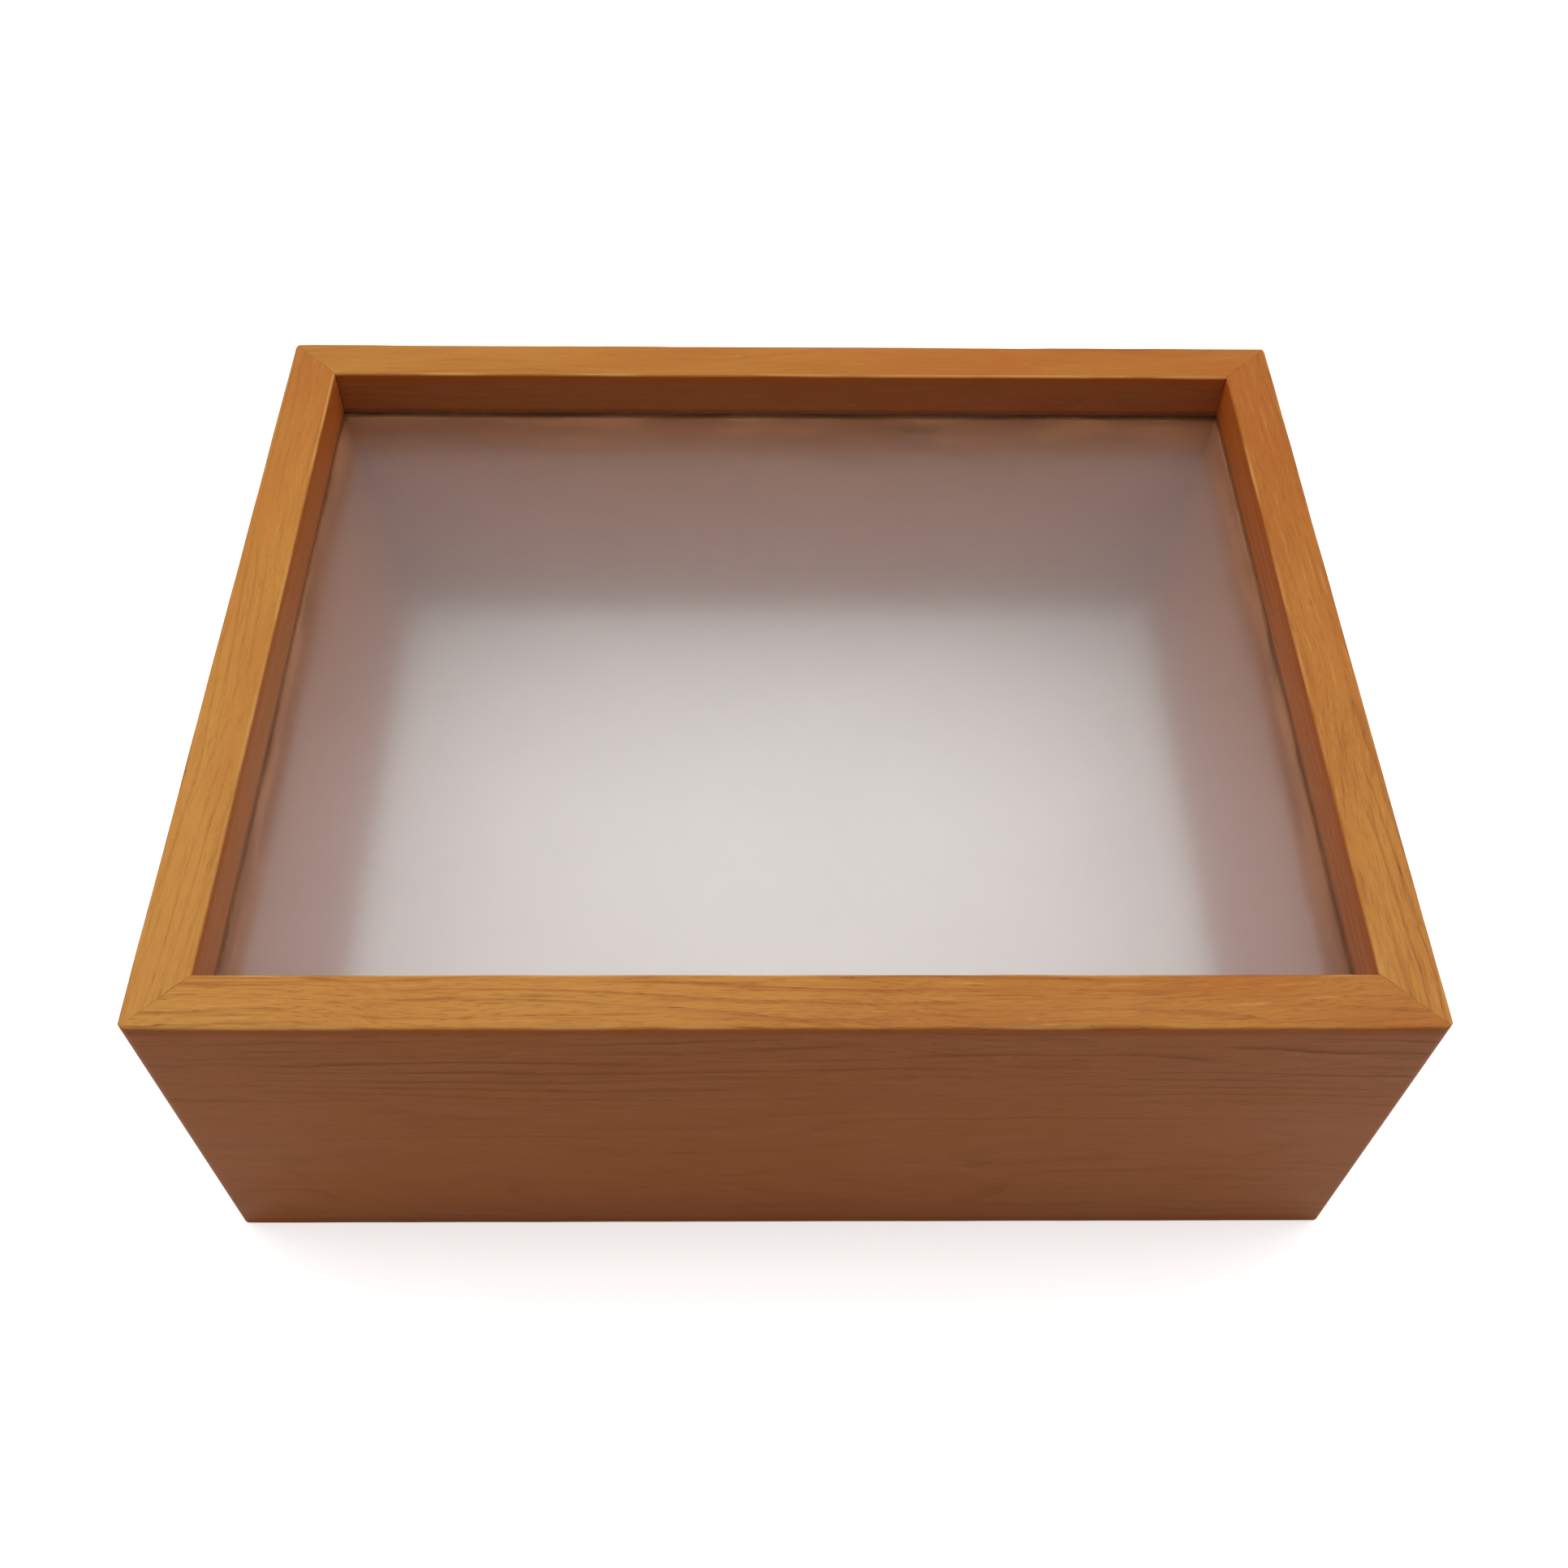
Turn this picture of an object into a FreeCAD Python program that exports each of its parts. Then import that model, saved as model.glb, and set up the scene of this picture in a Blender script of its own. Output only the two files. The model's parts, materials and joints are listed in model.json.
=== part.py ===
"""Deep glazed wooden display frame, lying on its back with its glazed face up.

Four mitred rails carry a lip at the front and a rabbet behind it. A hazy pane
lies in the rabbet, held under the lip by four mitred liner boards. The liners
grow thicker from the pane to the back, and are rabbeted at the rear for a
white mount board and a back panel, which six turn buttons hold. The back sits
in a recess, so the box rests on its rails.

Millimetres. X runs along the width, Y towards the top of the hung frame and
Z from the wall side out through the pane. The origin is in the middle of the
plane that the rails' back edges stand on.
"""
import FreeCAD, Part

import math
import os

# Overall size
FRAME_WIDTH = 304.8
FRAME_HEIGHT = 241.3
FRAME_DEPTH = 114.3

# Rails
RAIL_THICKNESS = 14.3
LIP_DEPTH = 15.5
RAIL_RABBET = 6.4
FRONT_EDGE_EASE = 0.8
LIP_EDGE_EASE = 0.5
BACK_EDGE_EASE = 0.5
CORNER_EASE = 2.5

# Glazing
PANE_THICKNESS = 2.0
PANE_PLAY = 0.9
PANE_SIDE_CLEARANCE = 0.8
PANE_EDGE_BEVEL = 0.3

# Liners
LINER_THICKNESS = 15.1
LINER_SPLAY = 8.7
LINER_RABBET = 6.0
LINER_EDGE_EASE = 0.4

# Back
BACK_RECESS = 9.8
MOUNT_BOARD_THICKNESS = 2.0
BACK_PANEL_THICKNESS = 5.0
BACK_SIDE_CLEARANCE = 0.5
BACK_PANEL_BEVEL = 0.6

# Corner nails, driven in from behind across each mitre
V_NAIL_LEG = 6.0
V_NAIL_GAUGE = 0.6
V_NAIL_DEPTH = 9.0
V_NAIL_SINK = 0.3

# Turn buttons
BUTTON_REACH = 14.0
BUTTON_ROOT_RADIUS = 3.7
BUTTON_TIP_RADIUS = 2.5
BUTTON_GAUGE = 1.2
BUTTON_TIP_BEND = 20.0
BUTTON_TIP_LENGTH = 3.6
BUTTON_BEND_RADIUS = 2.4
BUTTON_GAP = 0.2
BUTTON_HOLE_CLEARANCE = 0.25
LONG_SIDE_BUTTON_SPACING = 152.4

# Screws of the turn buttons
SCREW_SHANK_RADIUS = 1.45
SCREW_LENGTH = 12.7
SCREW_TIP_LENGTH = 3.0
SCREW_HEAD_RADIUS = 3.0
SCREW_HEAD_HEIGHT = 1.9
SCREW_HEAD_RIM = 0.7
SCREW_SLOT_WIDTH = 0.8
SCREW_SLOT_DEPTH = 1.0
SCREW_SLOT_LENGTH = 3.4

# Sawtooth hanger
HANGER_LENGTH = 44.5
HANGER_WIDTH = 7.9
HANGER_GAUGE = 0.9
HANGER_RISE = 2.0
HANGER_TAB = 8.0
HANGER_RAMP = 2.4
HANGER_TAB_RADIUS = 2.0
TOOTH_COUNT = 9
TOOTH_PITCH = 2.3
TOOTH_DEPTH = 1.3

# Nails of the hanger
NAIL_SHANK_RADIUS = 0.75
NAIL_LENGTH = 11.0
NAIL_TIP_LENGTH = 1.6
NAIL_HEAD_RADIUS = 1.6
NAIL_HEAD_HEIGHT = 0.6
NAIL_HOLE_CLEARANCE = 0.15

# Pilot holes in the wood, round screws and nails
PILOT_CLEARANCE = 0.05

# Sizes that follow from the ones above
RAIL_WALL = RAIL_THICKNESS - RAIL_RABBET
LIP_UNDERSIDE = FRAME_DEPTH - LIP_DEPTH
PANE_BACK = LIP_UNDERSIDE - PANE_PLAY - PANE_THICKNESS
LEDGE_WIDTH = LINER_THICKNESS - LINER_RABBET
LEDGE_MIDDLE = RAIL_WALL + LEDGE_WIDTH / 2
BACK_STEP = BACK_RECESS + BACK_PANEL_THICKNESS + MOUNT_BOARD_THICKNESS
BACK_INSET = RAIL_WALL + LEDGE_WIDTH + BACK_SIDE_CLEARANCE
BACK_WIDTH = FRAME_WIDTH - 2 * BACK_INSET
BACK_HEIGHT = FRAME_HEIGHT - 2 * BACK_INSET

# The sides in order, each a quarter turn on from the one before
SIDES = ("front", "right", "rear", "left")
LONG_SIDES = ("front", "rear")

# Where each turn button stands: its side and its place along that side
BUTTONS = {
    "front_left": ("front", -LONG_SIDE_BUTTON_SPACING / 2),
    "front_right": ("front", LONG_SIDE_BUTTON_SPACING / 2),
    "right": ("right", 0),
    "rear_right": ("rear", -LONG_SIDE_BUTTON_SPACING / 2),
    "rear_left": ("rear", LONG_SIDE_BUTTON_SPACING / 2),
    "left": ("left", 0),
}

Vector = FreeCAD.Vector
UP = Vector(0, 0, 1)
ORIGIN = Vector(0, 0, 0)


def eased_face(corners):
    """A flat face from (point, radius) corners, each rounded by its radius."""
    edges = []
    count = len(corners)
    ends = []
    for index, (corner, radius) in enumerate(corners):
        before = (corners[index - 1][0] - corner).normalize()
        after = (corners[(index + 1) % count][0] - corner).normalize()
        half_angle = before.getAngle(after) / 2
        reach = radius / math.tan(half_angle)
        start = corner + before * reach
        end = corner + after * reach
        if radius > 0:
            bisector = (before + after).normalize()
            middle = corner + bisector * (radius / math.sin(half_angle) - radius)
            edges.append(Part.Arc(start, middle, end).toShape())
        ends.append((start, end))
    for index in range(count):
        start = ends[index][1]
        end = ends[(index + 1) % count][0]
        if start.distanceToPoint(end) > 1e-6:
            edges.append(Part.LineSegment(start, end).toShape())
    return Part.Face(Part.Wire(Part.__sortEdges__(edges)))


def section_face(outline):
    """A bar's section from (inward, height, radius) corners, in the YZ plane."""
    return eased_face([(Vector(0, y, z), radius) for y, z, radius in outline])


def mitred_bar(outline, length, thickness):
    """A bar along X with its outer face at y = 0 and a mitre at each end."""
    bar = section_face(outline).extrude(Vector(length, 0, 0))
    bar.translate(Vector(-length / 2, 0, 0))
    height = bar.BoundBox.ZLength
    plan = Part.makePolygon([
        Vector(-length / 2, 0, 0),
        Vector(length / 2, 0, 0),
        Vector(length / 2 - thickness, thickness, 0),
        Vector(-length / 2 + thickness, thickness, 0),
        Vector(-length / 2, 0, 0),
    ])
    block = Part.Face(plan).extrude(Vector(0, 0, height))
    block.translate(Vector(0, 0, bar.BoundBox.ZMin))
    return bar.common(block)


def side_length(side):
    """The length of a side along its outer face."""
    return FRAME_WIDTH if side in LONG_SIDES else FRAME_HEIGHT


def side_reach(side):
    """How far a side's outer face lies from the middle of the frame."""
    return (FRAME_HEIGHT if side in LONG_SIDES else FRAME_WIDTH) / 2


def on_side(shape, side, inset=0.0):
    """The shape turned to a side, its y = 0 lying inset behind the outer face."""
    placed = shape.copy()
    placed.translate(Vector(0, inset - side_reach(side), 0))
    placed.rotate(ORIGIN, UP, 360 * SIDES.index(side) / len(SIDES))
    return placed


def plate(width, height, thickness, base, bevel):
    """A rectangular plate centred on the origin, bevelled round both faces."""
    block = Part.makeBox(width, height, thickness, Vector(-width / 2, -height / 2, base))
    rim = [edge for edge in block.Edges if edge.Vertexes[0].Z == edge.Vertexes[1].Z]
    return block.makeChamfer(bevel, rim) if bevel else block


def corner_envelope():
    """The outside of the whole frame, with its four upright corners eased."""
    block = Part.makeBox(
        FRAME_WIDTH, FRAME_HEIGHT, FRAME_DEPTH, Vector(-FRAME_WIDTH / 2, -FRAME_HEIGHT / 2, 0)
    )
    upright = [edge for edge in block.Edges if edge.Vertexes[0].Z != edge.Vertexes[1].Z]
    return block.makeFillet(CORNER_EASE, upright)


def v_nail():
    """One angled nail at the front left mitre, a leg in each rail."""
    middle = RAIL_WALL / 2
    inner = middle + V_NAIL_GAUGE / 2
    outer = middle - V_NAIL_GAUGE / 2
    tip = outer + V_NAIL_LEG
    points = [
        Vector(outer, outer, 0),
        Vector(tip, outer, 0),
        Vector(tip, inner, 0),
        Vector(inner, inner, 0),
        Vector(inner, tip, 0),
        Vector(outer, tip, 0),
        Vector(outer, outer, 0),
    ]
    nail = Part.Face(Part.makePolygon(points)).extrude(Vector(0, 0, V_NAIL_DEPTH))
    nail.translate(Vector(-FRAME_WIDTH / 2, -FRAME_HEIGHT / 2, V_NAIL_SINK))
    return nail


def corner_v_nails():
    """The four corner nails, mirrored from the front left one."""
    nails = []
    for mirror_x in (False, True):
        for mirror_y in (False, True):
            nail = v_nail()
            if mirror_x:
                nail = nail.mirror(ORIGIN, Vector(1, 0, 0))
            if mirror_y:
                nail = nail.mirror(ORIGIN, Vector(0, 1, 0))
            nails.append(nail)
    return nails


def rail(side, nails):
    """One mitred rail with its lip, its rabbet and the slots of its nails."""
    outline = [
        (0, 0, BACK_EDGE_EASE),
        (0, FRAME_DEPTH, FRONT_EDGE_EASE),
        (RAIL_THICKNESS, FRAME_DEPTH, FRONT_EDGE_EASE),
        (RAIL_THICKNESS, LIP_UNDERSIDE, LIP_EDGE_EASE),
        (RAIL_WALL, LIP_UNDERSIDE, 0),
        (RAIL_WALL, 0, BACK_EDGE_EASE),
    ]
    board = on_side(mitred_bar(outline, side_length(side), RAIL_THICKNESS), side)
    board = board.common(corner_envelope())
    for nail in nails:
        slot = nail.fuse(nail.translated(Vector(0, 0, -V_NAIL_SINK)))
        board = board.cut(slot)
    return board


def headed_shank(shank, length, tip, head, head_height, head_rim):
    """A pointed round fastener along +Z, its domed head below z = 0."""
    cap = head_height - head_rim
    dome_radius = (head * head + cap * cap) / (2 * cap)
    half_angle = math.asin(head / dome_radius) / 2
    dome_middle = Vector(
        dome_radius * math.sin(half_angle), 0, dome_radius * (1 - math.cos(half_angle)) - head_height
    )
    wire = Part.Wire([
        Part.LineSegment(Vector(0, 0, -head_height), Vector(0, 0, length)).toShape(),
        Part.LineSegment(Vector(0, 0, length), Vector(shank, 0, length - tip)).toShape(),
        Part.LineSegment(Vector(shank, 0, length - tip), Vector(shank, 0, 0)).toShape(),
        Part.LineSegment(Vector(shank, 0, 0), Vector(head, 0, 0)).toShape(),
        Part.LineSegment(Vector(head, 0, 0), Vector(head, 0, -head_rim)).toShape(),
        Part.Arc(Vector(head, 0, -head_rim), dome_middle, Vector(0, 0, -head_height)).toShape(),
    ])
    return Part.Face(wire).revolve(ORIGIN, UP, 360)


def button_screw():
    """One pan head screw with a cross recess, its head's underside at z = 0."""
    screw = headed_shank(
        SCREW_SHANK_RADIUS,
        SCREW_LENGTH,
        SCREW_TIP_LENGTH,
        SCREW_HEAD_RADIUS,
        SCREW_HEAD_HEIGHT,
        SCREW_HEAD_RIM,
    )
    slot = Part.makeBox(
        SCREW_SLOT_LENGTH,
        SCREW_SLOT_WIDTH,
        SCREW_SLOT_DEPTH,
        Vector(-SCREW_SLOT_LENGTH / 2, -SCREW_SLOT_WIDTH / 2, -SCREW_HEAD_HEIGHT),
    )
    cross = slot.fuse(slot.rotated(ORIGIN, UP, 90))
    return screw.cut(cross)


def hanger_nail():
    """One flat headed nail, its head's underside at z = 0."""
    return headed_shank(
        NAIL_SHANK_RADIUS,
        NAIL_LENGTH,
        NAIL_TIP_LENGTH,
        NAIL_HEAD_RADIUS,
        NAIL_HEAD_HEIGHT,
        NAIL_HEAD_HEIGHT / 2,
    )


def on_ledge(shape, side, along, height):
    """The shape moved to the middle of a side's rear ledge, at a height."""
    moved = shape.translated(Vector(along, 0, height))
    return on_side(moved, side, LEDGE_MIDDLE)


def button_head_height():
    """The height of the underside of a button screw's head."""
    return BACK_RECESS - 2 * BUTTON_GAP - BUTTON_GAUGE


def turn_button_screws():
    """One screw through each turn button into its liner."""
    return [on_ledge(button_screw(), side, along, button_head_height()) for side, along in BUTTONS.values()]


def nail_places():
    """Where the hanger's two nails stand along the rear side."""
    reach = (HANGER_LENGTH - HANGER_TAB) / 2
    return (-reach, reach)


def hanger_nails():
    """Two nails through the hanger's tabs into the rear liner."""
    height = BACK_RECESS - HANGER_GAUGE
    return [on_ledge(hanger_nail(), "rear", along, height) for along in nail_places()]


def pilot_hole(radius, depth):
    """A blind hole upwards from z = 0 for a screw or a nail."""
    return Part.makeCylinder(radius + PILOT_CLEARANCE, depth, ORIGIN, UP)


def liner(side):
    """One mitred liner board, thinner towards the pane, rabbeted behind for the back."""
    outline = [
        (0, BACK_RECESS, 0),
        (0, PANE_BACK, LINER_EDGE_EASE),
        (LINER_THICKNESS - LINER_SPLAY, PANE_BACK, LINER_EDGE_EASE),
        (LINER_THICKNESS, BACK_STEP, 0),
        (LEDGE_WIDTH, BACK_STEP, 0),
        (LEDGE_WIDTH, BACK_RECESS, LINER_EDGE_EASE),
    ]
    length = side_length(side) - 2 * RAIL_WALL
    board = on_side(mitred_bar(outline, length, LINER_THICKNESS), side, RAIL_WALL)
    screw_depth = SCREW_LENGTH - (BACK_RECESS - button_head_height())
    for screw_side, along in BUTTONS.values():
        if screw_side == side:
            hole = pilot_hole(SCREW_SHANK_RADIUS, screw_depth)
            board = board.cut(on_ledge(hole, side, along, BACK_RECESS))
    if side == "rear":
        for along in nail_places():
            hole = pilot_hole(NAIL_SHANK_RADIUS, NAIL_LENGTH - HANGER_GAUGE)
            board = board.cut(on_ledge(hole, side, along, BACK_RECESS))
    return board


def glazing_pane():
    """The hazy pane, lying on the liners with some play under the lip."""
    inset = RAIL_WALL + PANE_SIDE_CLEARANCE
    return plate(
        FRAME_WIDTH - 2 * inset, FRAME_HEIGHT - 2 * inset, PANE_THICKNESS, PANE_BACK, PANE_EDGE_BEVEL
    )


def mount_board():
    """The white board that the display lies on."""
    base = BACK_RECESS + BACK_PANEL_THICKNESS
    return plate(BACK_WIDTH, BACK_HEIGHT, MOUNT_BOARD_THICKNESS, base, 0)


def back_panel():
    """The fibreboard back, level with the liners' rear edges."""
    return plate(BACK_WIDTH, BACK_HEIGHT, BACK_PANEL_THICKNESS, BACK_RECESS, BACK_PANEL_BEVEL)


def button_plan():
    """A turn button's tapered outline, its pivot at the origin, pointing to +X."""
    tip_centre = BUTTON_REACH - BUTTON_TIP_RADIUS
    lean = math.acos((BUTTON_ROOT_RADIUS - BUTTON_TIP_RADIUS) / tip_centre)
    across = Vector(math.cos(lean), math.sin(lean), 0)
    below = Vector(across.x, -across.y, 0)
    tip = Vector(tip_centre, 0, 0)
    root_top = across * BUTTON_ROOT_RADIUS
    root_bottom = below * BUTTON_ROOT_RADIUS
    tip_top = tip + across * BUTTON_TIP_RADIUS
    tip_bottom = tip + below * BUTTON_TIP_RADIUS
    wire = Part.Wire([
        Part.Arc(root_top, Vector(-BUTTON_ROOT_RADIUS, 0, 0), root_bottom).toShape(),
        Part.LineSegment(root_bottom, tip_bottom).toShape(),
        Part.Arc(tip_bottom, Vector(BUTTON_REACH, 0, 0), tip_top).toShape(),
        Part.LineSegment(tip_top, root_top).toShape(),
    ])
    return Part.Face(wire)


def button_strip():
    """A turn button's side view: a flat strip whose tip bends off the panel."""
    bend = math.radians(BUTTON_TIP_BEND)
    knee = BUTTON_REACH - BUTTON_TIP_LENGTH
    drop = BUTTON_TIP_LENGTH * math.tan(bend)
    outline = [
        (Vector(-BUTTON_REACH, 0, 0), 0),
        (Vector(knee, 0, 0), BUTTON_BEND_RADIUS + BUTTON_GAUGE),
        (Vector(BUTTON_REACH, 0, -drop), 0),
        (Vector(BUTTON_REACH, 0, -drop - BUTTON_GAUGE / math.cos(bend)), 0),
        (Vector(knee - BUTTON_GAUGE * math.tan(bend / 2), 0, -BUTTON_GAUGE), BUTTON_BEND_RADIUS),
        (Vector(-BUTTON_REACH, 0, -BUTTON_GAUGE), 0),
    ]
    width = 2 * BUTTON_ROOT_RADIUS
    return eased_face(outline).extrude(Vector(0, width, 0)).translated(Vector(0, -width / 2, 0))


def turn_button(name):
    """One turn button, parked along its rail and clear of the back panel."""
    side, along = BUTTONS[name]
    depth = BUTTON_TIP_LENGTH + 2 * BUTTON_GAUGE
    blank = button_plan().extrude(Vector(0, 0, -depth))
    body = blank.common(button_strip())
    hole_radius = SCREW_SHANK_RADIUS + BUTTON_HOLE_CLEARANCE
    hole = Part.makeCylinder(hole_radius, 2 * BUTTON_GAUGE, Vector(0, 0, -1.5 * BUTTON_GAUGE), UP)
    return on_ledge(body.cut(hole), side, along, BACK_RECESS - BUTTON_GAP)


def hanger_strip():
    """The hanger's side view: two flat tabs and a raised middle."""
    half = HANGER_LENGTH / 2
    ramp = half - HANGER_TAB
    top = ramp - HANGER_RAMP
    slope = math.atan2(HANGER_RISE, HANGER_RAMP)
    shift = HANGER_GAUGE * math.tan(slope / 2)
    outline = [
        (-half, 0),
        (-ramp, 0),
        (-top, -HANGER_RISE),
        (top, -HANGER_RISE),
        (ramp, 0),
        (half, 0),
        (half, -HANGER_GAUGE),
        (ramp + shift, -HANGER_GAUGE),
        (top + shift, -HANGER_RISE - HANGER_GAUGE),
        (-top - shift, -HANGER_RISE - HANGER_GAUGE),
        (-ramp - shift, -HANGER_GAUGE),
        (-half, -HANGER_GAUGE),
    ]
    face = eased_face([(Vector(x, 0, z), 0) for x, z in outline])
    return face.extrude(Vector(0, HANGER_WIDTH, 0)).translated(Vector(0, -HANGER_WIDTH / 2, 0))


def hanger_teeth():
    """The notches of the hanger's lower edge, each a triangular prism."""
    notches = []
    edge = HANGER_WIDTH / 2
    for index in range(TOOTH_COUNT):
        middle = (index - (TOOTH_COUNT - 1) / 2) * TOOTH_PITCH
        points = [
            Vector(middle - TOOTH_PITCH / 2, edge, 0),
            Vector(middle + TOOTH_PITCH / 2, edge, 0),
            Vector(middle, edge - TOOTH_DEPTH, 0),
            Vector(middle - TOOTH_PITCH / 2, edge, 0),
        ]
        depth = HANGER_RISE + 2 * HANGER_GAUGE
        notches.append(Part.Face(Part.makePolygon(points)).extrude(Vector(0, 0, -depth)))
    return notches


def sawtooth_hanger():
    """The hanger on the rear liner, toothed towards the middle of the frame."""
    half = HANGER_LENGTH / 2
    edge = HANGER_WIDTH / 2
    plan = eased_face([
        (Vector(-half, -edge, 0), HANGER_TAB_RADIUS),
        (Vector(half, -edge, 0), HANGER_TAB_RADIUS),
        (Vector(half, edge, 0), HANGER_TAB_RADIUS),
        (Vector(-half, edge, 0), HANGER_TAB_RADIUS),
    ])
    blank = plan.extrude(Vector(0, 0, -HANGER_RISE - 2 * HANGER_GAUGE))
    body = blank.common(hanger_strip())
    for notch in hanger_teeth():
        body = body.cut(notch)
    for along in nail_places():
        radius = NAIL_SHANK_RADIUS + NAIL_HOLE_CLEARANCE
        hole = Part.makeCylinder(radius, 2 * HANGER_GAUGE, Vector(along, 0, -1.5 * HANGER_GAUGE), UP)
        body = body.cut(hole)
    return on_ledge(body, "rear", 0, BACK_RECESS)


def write(name, shape):
    """Writes one node, a solid or a list of separate solids, as a STEP file."""
    body = Part.makeCompound(shape) if isinstance(shape, list) else shape
    if len(body.Solids) == 1:
        body = body.Solids[0]
    if not body.isValid():
        raise ValueError(name + " is not a valid shape")
    body.exportStep(os.path.join("parts", name + ".step"))
    box = body.BoundBox
    print(f"{name}: {len(body.Solids)} solid(s), {body.Volume:.1f} mm3, "
          f"{box.XLength:.2f} x {box.YLength:.2f} x {box.ZLength:.2f}")


def main():
    """Builds every piece and writes it."""
    os.makedirs("parts", exist_ok=True)
    nails = corner_v_nails()
    for side in SIDES:
        write(side + "_rail", rail(side, nails))
        write(side + "_liner", liner(side))
    write("corner_v_nails", nails)
    write("glazing_pane", glazing_pane())
    write("mount_board", mount_board())
    write("back_panel", back_panel())
    for name in BUTTONS:
        write("turn_button_" + name, turn_button(name))
    write("turn_button_screws", turn_button_screws())
    write("sawtooth_hanger", sawtooth_hanger())
    write("hanger_nails", hanger_nails())


main()
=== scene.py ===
"""Looks of a deep glazed display frame that lies on its back, glazed face up.

Four stained boards make the frame, four more line it inside, a hazy pane lies
under the lip and a white board closes the bottom of the display space. Behind
it are a fibreboard panel, six turn buttons and a toothed hanger.

Sizes are in millimetres until a mesh or a lamp is made, and then in metres.
"""
import json
import logging
import math
from dataclasses import dataclass
from enum import Enum
from typing import Any

import bmesh
import bpy
from mathutils import Matrix, Vector


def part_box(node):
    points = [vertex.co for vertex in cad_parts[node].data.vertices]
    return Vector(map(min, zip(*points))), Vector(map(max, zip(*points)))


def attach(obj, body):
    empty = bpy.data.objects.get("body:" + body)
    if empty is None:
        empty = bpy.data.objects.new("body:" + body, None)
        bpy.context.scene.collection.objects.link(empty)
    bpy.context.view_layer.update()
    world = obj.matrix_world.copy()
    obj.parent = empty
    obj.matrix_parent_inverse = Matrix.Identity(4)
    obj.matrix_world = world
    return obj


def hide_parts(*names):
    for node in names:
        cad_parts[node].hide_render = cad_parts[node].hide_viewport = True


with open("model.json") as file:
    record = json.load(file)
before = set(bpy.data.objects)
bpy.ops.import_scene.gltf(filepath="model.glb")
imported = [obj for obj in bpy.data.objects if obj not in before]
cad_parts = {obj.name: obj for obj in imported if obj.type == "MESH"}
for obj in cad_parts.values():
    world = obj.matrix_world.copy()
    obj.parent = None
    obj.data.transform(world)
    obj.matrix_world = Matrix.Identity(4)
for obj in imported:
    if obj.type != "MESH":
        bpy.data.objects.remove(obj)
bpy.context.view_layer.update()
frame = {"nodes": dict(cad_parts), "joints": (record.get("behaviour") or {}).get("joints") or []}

LOG = logging.getLogger("display_frame")
MM = 0.001

Colour = tuple[float, float, float]
Span = tuple[float, float]


class Side(Enum):
    """The four sides in order, each a quarter turn on from the one before."""

    FRONT = 0
    RIGHT = 1
    REAR = 2
    LEFT = 3

    @property
    def word(self) -> str:
        """The side's name as it stands in the names of its pieces."""
        return self.name.lower()

    @property
    def turn(self) -> float:
        """The angle in radians from the front side to this one."""
        return math.tau * self.value / len(Side)


class Wire:
    """An output socket of a node, with arithmetic that adds Math nodes."""

    def __init__(self, sheet: "Sheet", socket: bpy.types.NodeSocket) -> None:
        """Keeps the socket and the sheet that it belongs to."""
        self.sheet = sheet
        self.socket = socket

    def __add__(self, other: "Wire | float") -> "Wire":
        """This value plus another."""
        return self.sheet.maths("ADD", self, other)

    __radd__ = __add__

    def __sub__(self, other: "Wire | float") -> "Wire":
        """This value less another."""
        return self.sheet.maths("SUBTRACT", self, other)

    def __rsub__(self, other: "Wire | float") -> "Wire":
        """Another value less this one."""
        return self.sheet.maths("SUBTRACT", other, self)

    def __mul__(self, other: "Wire | float") -> "Wire":
        """This value times another."""
        return self.sheet.maths("MULTIPLY", self, other)

    __rmul__ = __mul__

    def __truediv__(self, other: "Wire | float") -> "Wire":
        """This value divided by another."""
        return self.sheet.maths("DIVIDE", self, other)

    def __pow__(self, other: "Wire | float") -> "Wire":
        """This value to a power."""
        return self.sheet.maths("POWER", self, other)

    def __abs__(self) -> "Wire":
        """This value without its sign."""
        return self.sheet.maths("ABSOLUTE", self)

    def sine(self) -> "Wire":
        """The sine of this value in radians."""
        return self.sheet.maths("SINE", self)

    def root(self) -> "Wire":
        """The square root of this value, or 0 below 0."""
        return self.sheet.maths("SQRT", self.most(0.0))

    def least(self, other: "Wire | float") -> "Wire":
        """The smaller of this value and another."""
        return self.sheet.maths("MINIMUM", self, other)

    def most(self, other: "Wire | float") -> "Wire":
        """The larger of this value and another."""
        return self.sheet.maths("MAXIMUM", self, other)

    def ramp(self, low: float, high: float) -> "Wire":
        """A smooth rise from 0 where this value is low to 1 where it is high.

        Args:
            low: The value that gives 0. It may lie above high, for a fall.
            high: The value that gives 1.

        Returns:
            The eased value, between 0 and 1.
        """
        return self.sheet.out(
            "ShaderNodeMapRange",
            {"interpolation_type": "SMOOTHSTEP"},
            {"Value": self, "From Min": low, "From Max": high},
        )


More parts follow.
